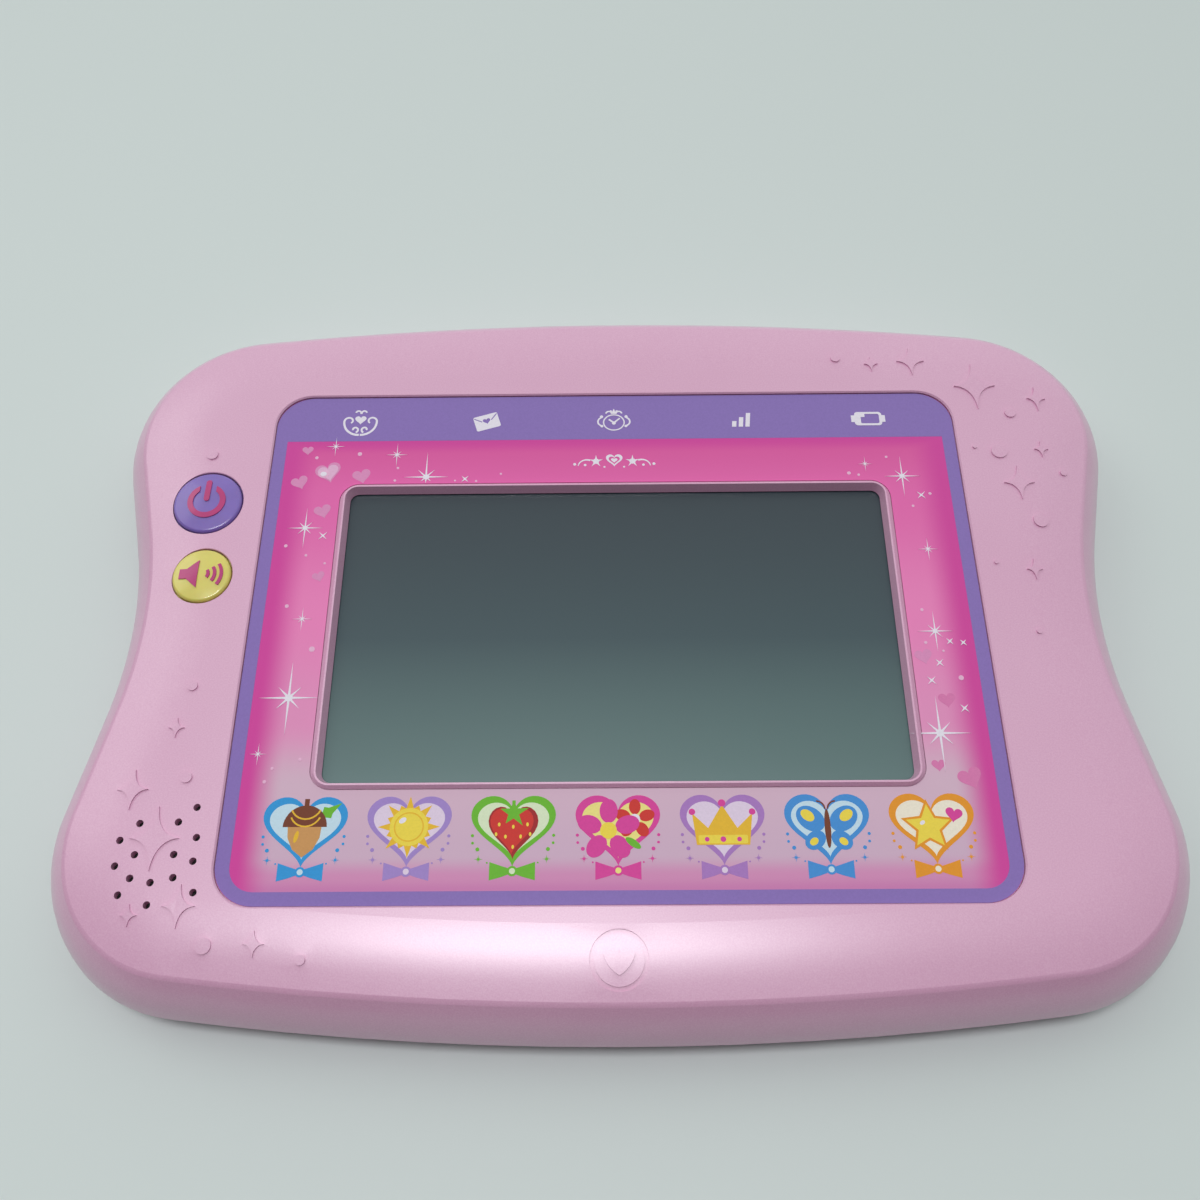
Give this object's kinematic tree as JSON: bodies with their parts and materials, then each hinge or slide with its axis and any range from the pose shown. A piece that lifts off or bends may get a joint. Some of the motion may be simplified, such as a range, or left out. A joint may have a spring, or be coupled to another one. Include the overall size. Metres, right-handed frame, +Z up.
{
  "type": "kids toy tablet",
  "caption": "Pillow-shaped toy tablet with a touch screen behind a raised rim, a printed key film, two round push buttons, a speaker grille and a battery door.",
  "frame": {"origin": "on the table under the middle of the case, at the bottom of the rubber feet", "axes": "+X to the right of the user, +Y towards the top edge of the tablet, +Z up out of the screen"},
  "size_m": [0.2988, 0.2202, 0.0294],
  "materials": {
    "pearl_pink_abs": "pearl pink moulded ABS with fine mica, satin",
    "printed_film": "glossy polycarbonate film printed on its back in purple, magenta and pale pink",
    "membrane_pet": "translucent polyester switch membrane",
    "touch_glass": "clear glass",
    "lcd_glass": "dark polarised display glass",
    "steel_can": "pressed sheet metal",
    "black_foam": "closed-cell foam",
    "white_abs": "plain moulded ABS",
    "purple_abs": "polished purple ABS",
    "yellow_abs": "polished yellow ABS",
    "pink_inlay": "pink second-shot ABS",
    "white_silicone": "translucent silicone rubber",
    "green_board": "green solder mask",
    "black_epoxy": "moulded epoxy",
    "connector_nylon": "natural nylon",
    "capacitor_can": "sleeved aluminium can",
    "nickel_steel": "nickel-plated steel",
    "flex_polyimide": "amber polyimide",
    "speaker_steel": "zinc-plated steel basket",
    "speaker_paper": "black paper",
    "black_cloth": "open black cloth",
    "cell_jacket": "printed jacket over a metal can",
    "zinc_screw": "zinc-plated steel",
    "clear_rubber": "soft grey-pink rubber",
    "wire_pvc": "PVC insulation"
  },
  "bodies": {
    "tablet": {"front_case": "pearl_pink_abs", "rear_case": "pearl_pink_abs", "graphic_overlay": "printed_film", "membrane_keys": "membrane_pet", "touch_panel": "touch_glass", "lcd_gasket": "black_foam", "lcd_panel": "lcd_glass", "lcd_frame": "steel_can", "lcd_bracket": "white_abs", "lcd_flex": "flex_polyimide", "power_dome": "white_silicone", "sound_dome": "white_silicone", "button_board": "green_board", "button_board_screws": "zinc_screw", "speaker_gasket": "black_foam", "speaker_mesh": "black_cloth", "speaker_frame": "speaker_steel", "speaker_cone": "speaker_paper", "speaker_magnet": "speaker_steel", "speaker_clamp": "white_abs", "speaker_screws": "zinc_screw", "battery_cells": "cell_jacket", "battery_springs": "nickel_steel", "battery_plates": "nickel_steel", "main_board": "green_board", "board_connectors": "connector_nylon", "board_chips": "black_epoxy", "board_capacitors": "capacitor_can", "board_crystal": "nickel_steel", "board_screws": "zinc_screw", "battery_wires": "wire_pvc", "speaker_wires": "wire_pvc", "button_wires": "wire_pvc", "case_screws": "zinc_screw", "bracket_screws": "zinc_screw", "rubber_feet": "clear_rubber"},
    "power_button": {"power_button": "purple_abs", "power_symbol": "pink_inlay"},
    "sound_button": {"sound_button": "yellow_abs", "sound_symbol": "pink_inlay"},
    "battery_door": {"battery_door": "pearl_pink_abs", "door_screw": "zinc_screw"}
  },
  "joints": [
    {"name": "power_button_press", "type": "slide", "parent": "tablet", "child": "power_button", "axis": [0, 0, -1], "range_m": [0, 0.0012], "stiffness_N_per_m": 1200, "springref_m": -0.0003, "deforming": ["power_dome"]},
    {"name": "sound_button_press", "type": "slide", "parent": "tablet", "child": "sound_button", "axis": [0, 0, -1], "range_m": [0, 0.0012], "stiffness_N_per_m": 1200, "springref_m": -0.0003, "deforming": ["sound_dome"]},
    {"name": "battery_door_tilt", "type": "hinge", "parent": "tablet", "child": "battery_door", "pos_m": [0, 0.0543, 0.0015], "axis": [-1, 0, 0], "range_deg": [0, 45]}
  ]
}
